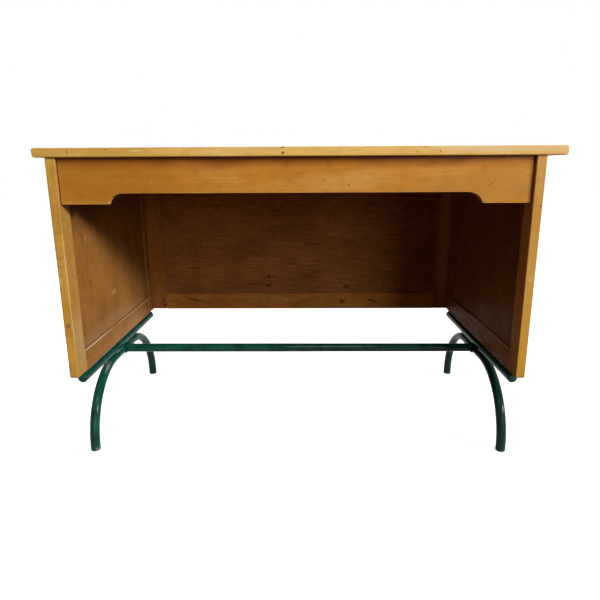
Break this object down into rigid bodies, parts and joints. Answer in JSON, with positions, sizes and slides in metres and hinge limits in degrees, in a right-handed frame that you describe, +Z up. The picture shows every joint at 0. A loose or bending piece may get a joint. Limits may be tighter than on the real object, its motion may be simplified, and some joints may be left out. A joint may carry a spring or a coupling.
{
  "type": "teacher desk",
  "caption": "Wooden desk with framed panel sides and back, a shaped apron and an open kneehole, on arched steel-tube legs joined by a cross tube.",
  "frame": {"origin": "on the floor, under the middle of the tabletop", "axes": "+X along the desk to the right as the sitter sees it, +Y away from the sitter to the panelled back, +Z up"},
  "size_m": [1.18, 0.65, 0.7788],
  "materials": {
    "honey_beech": "satin varnish, honey coloured, worn along the edges",
    "amber_beech": "satin varnish, amber coloured",
    "varnished_plywood": "thin aged varnish on plywood",
    "bare_beech": "planed, unfinished",
    "green_enamel": "bottle green gloss enamel on steel tube",
    "screw_steel": "plain bright steel"
  },
  "bodies": {
    "root": {"apron": "amber_beech", "apron_block_left": "bare_beech", "apron_block_right": "bare_beech", "arch_leg_left": "green_enamel", "arch_leg_right": "green_enamel", "base_screw_front_left": "screw_steel", "base_screw_front_right": "screw_steel", "base_screw_rear_left": "screw_steel", "base_screw_rear_right": "screw_steel", "base_tube_left": "green_enamel", "base_tube_right": "green_enamel", "dowel_left_1": "bare_beech", "dowel_left_2": "bare_beech", "dowel_right_1": "bare_beech", "dowel_right_2": "bare_beech", "foot_front_left": "green_enamel", "foot_front_right": "green_enamel", "foot_rear_left": "green_enamel", "foot_rear_right": "green_enamel", "rear_batten": "bare_beech", "rear_batten_screw_1": "screw_steel", "rear_batten_screw_2": "screw_steel", "rear_block_left": "bare_beech", "rear_block_right": "bare_beech", "rear_bottom_rail": "honey_beech", "rear_left_stile": "honey_beech", "rear_panel": "varnished_plywood", "rear_right_stile": "honey_beech", "rear_top_rail": "honey_beech", "side_batten_left": "bare_beech", "side_batten_left_screw_1": "screw_steel", "side_batten_left_screw_2": "screw_steel", "side_batten_right": "bare_beech", "side_batten_right_screw_1": "screw_steel", "side_batten_right_screw_2": "screw_steel", "side_left_bottom_rail": "honey_beech", "side_left_front_stile": "honey_beech", "side_left_panel": "varnished_plywood", "side_left_rear_stile": "honey_beech", "side_left_top_rail": "honey_beech", "side_right_bottom_rail": "honey_beech", "side_right_front_stile": "honey_beech", "side_right_panel": "varnished_plywood", "side_right_rear_stile": "honey_beech", "side_right_top_rail": "honey_beech", "stretcher": "green_enamel", "tabletop": "honey_beech", "tube_plug_front_left": "green_enamel", "tube_plug_front_right": "green_enamel", "tube_plug_rear_left": "green_enamel", "tube_plug_rear_right": "green_enamel", "weld_inner_front_left": "green_enamel", "weld_inner_front_right": "green_enamel", "weld_inner_rear_left": "green_enamel", "weld_inner_rear_right": "green_enamel", "weld_outer_left": "green_enamel", "weld_outer_right": "green_enamel", "weld_stretcher_left": "green_enamel", "weld_stretcher_right": "green_enamel"}
  },
  "joints": []
}
